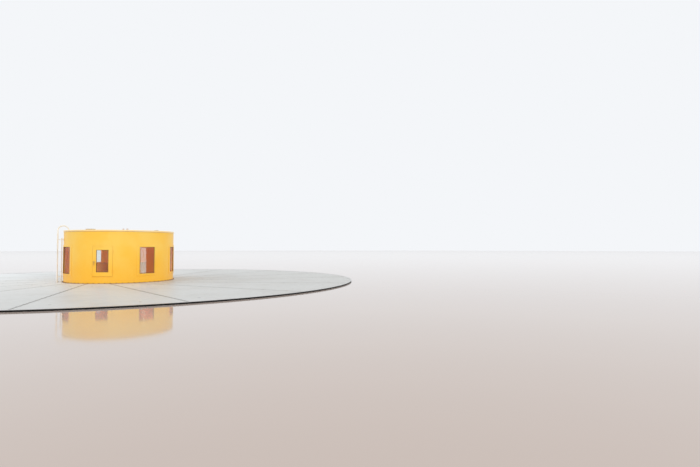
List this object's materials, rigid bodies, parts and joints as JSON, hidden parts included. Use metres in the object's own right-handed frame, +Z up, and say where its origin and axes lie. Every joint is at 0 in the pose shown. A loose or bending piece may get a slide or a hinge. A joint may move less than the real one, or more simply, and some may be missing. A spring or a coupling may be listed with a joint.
{
  "type": "hydroelectric generator housing with round floor cover",
  "caption": "Amber drum housing of a vertical hydroelectric generator on its wide round floor cover, with windows, a hinged access door and a roof ladder.",
  "frame": {"origin": "centre of the round floor cover, on the hall floor", "axes": "+Z up; -Y is the side of the access door"},
  "size_m": [19.56, 19.56, 2.3181],
  "materials": {
    "cover_paint": "satin light grey floor paint",
    "joint_rubber": "matt",
    "kerb_paint": "satin black",
    "trim_metal": "brushed",
    "drum_paint": "satin amber enamel",
    "inner_paint": "satin grey",
    "window_glass": "clear",
    "grey_steel": "satin grey",
    "hardware_metal": "brushed",
    "ladder_paint": "gloss white"
  },
  "bodies": {
    "housing": {"cover_plate_01": "cover_paint", "cover_plate_02": "cover_paint", "cover_plate_03": "cover_paint", "cover_plate_04": "cover_paint", "cover_plate_05": "cover_paint", "cover_plate_06": "cover_paint", "cover_plate_07": "cover_paint", "cover_plate_08": "cover_paint", "cover_plate_09": "cover_paint", "cover_plate_10": "cover_paint", "cover_plate_11": "cover_paint", "cover_plate_12": "cover_paint", "cover_plate_13": "cover_paint", "cover_plate_14": "cover_paint", "cover_plate_15": "cover_paint", "cover_plate_16": "cover_paint", "cover_joints": "joint_rubber", "kerb": "kerb_paint", "kerb_trim": "trim_metal", "drum_floor": "inner_paint", "base_flange": "kerb_paint", "wall_panel_1": "drum_paint", "wall_panel_2": "drum_paint", "wall_panel_3": "drum_paint", "wall_panel_4": "drum_paint", "wall_panel_5": "drum_paint", "wall_panel_6": "drum_paint", "wall_panel_7": "drum_paint", "door_post_left": "drum_paint", "door_post_right": "drum_paint", "door_header": "drum_paint", "door_sill": "drum_paint", "window_frames": "drum_paint", "window_panes": "window_glass", "rim_flange": "drum_paint", "roof_plate_1": "drum_paint", "roof_plate_2": "drum_paint", "roof_plate_3": "drum_paint", "roof_plate_4": "drum_paint", "roof_hatches": "grey_steel", "lifting_lugs": "grey_steel", "wall_hinges": "drum_paint", "ladder_stiles": "ladder_paint", "ladder_rungs": "ladder_paint", "ladder_back_rails": "ladder_paint", "ladder_brackets": "ladder_paint", "brush_gear_casing": "inner_paint", "collector_housing": "inner_paint"},
    "door": {"door_leaf": "drum_paint", "door_pane": "window_glass", "door_handle": "hardware_metal", "door_hinges": "drum_paint"}
  },
  "joints": [
    {"name": "door_hinge", "type": "hinge", "parent": "housing", "child": "door", "pos_m": [0.377, -2.05775, 0.8975], "axis": [0, 0, 1], "range_deg": [0, 110]}
  ]
}
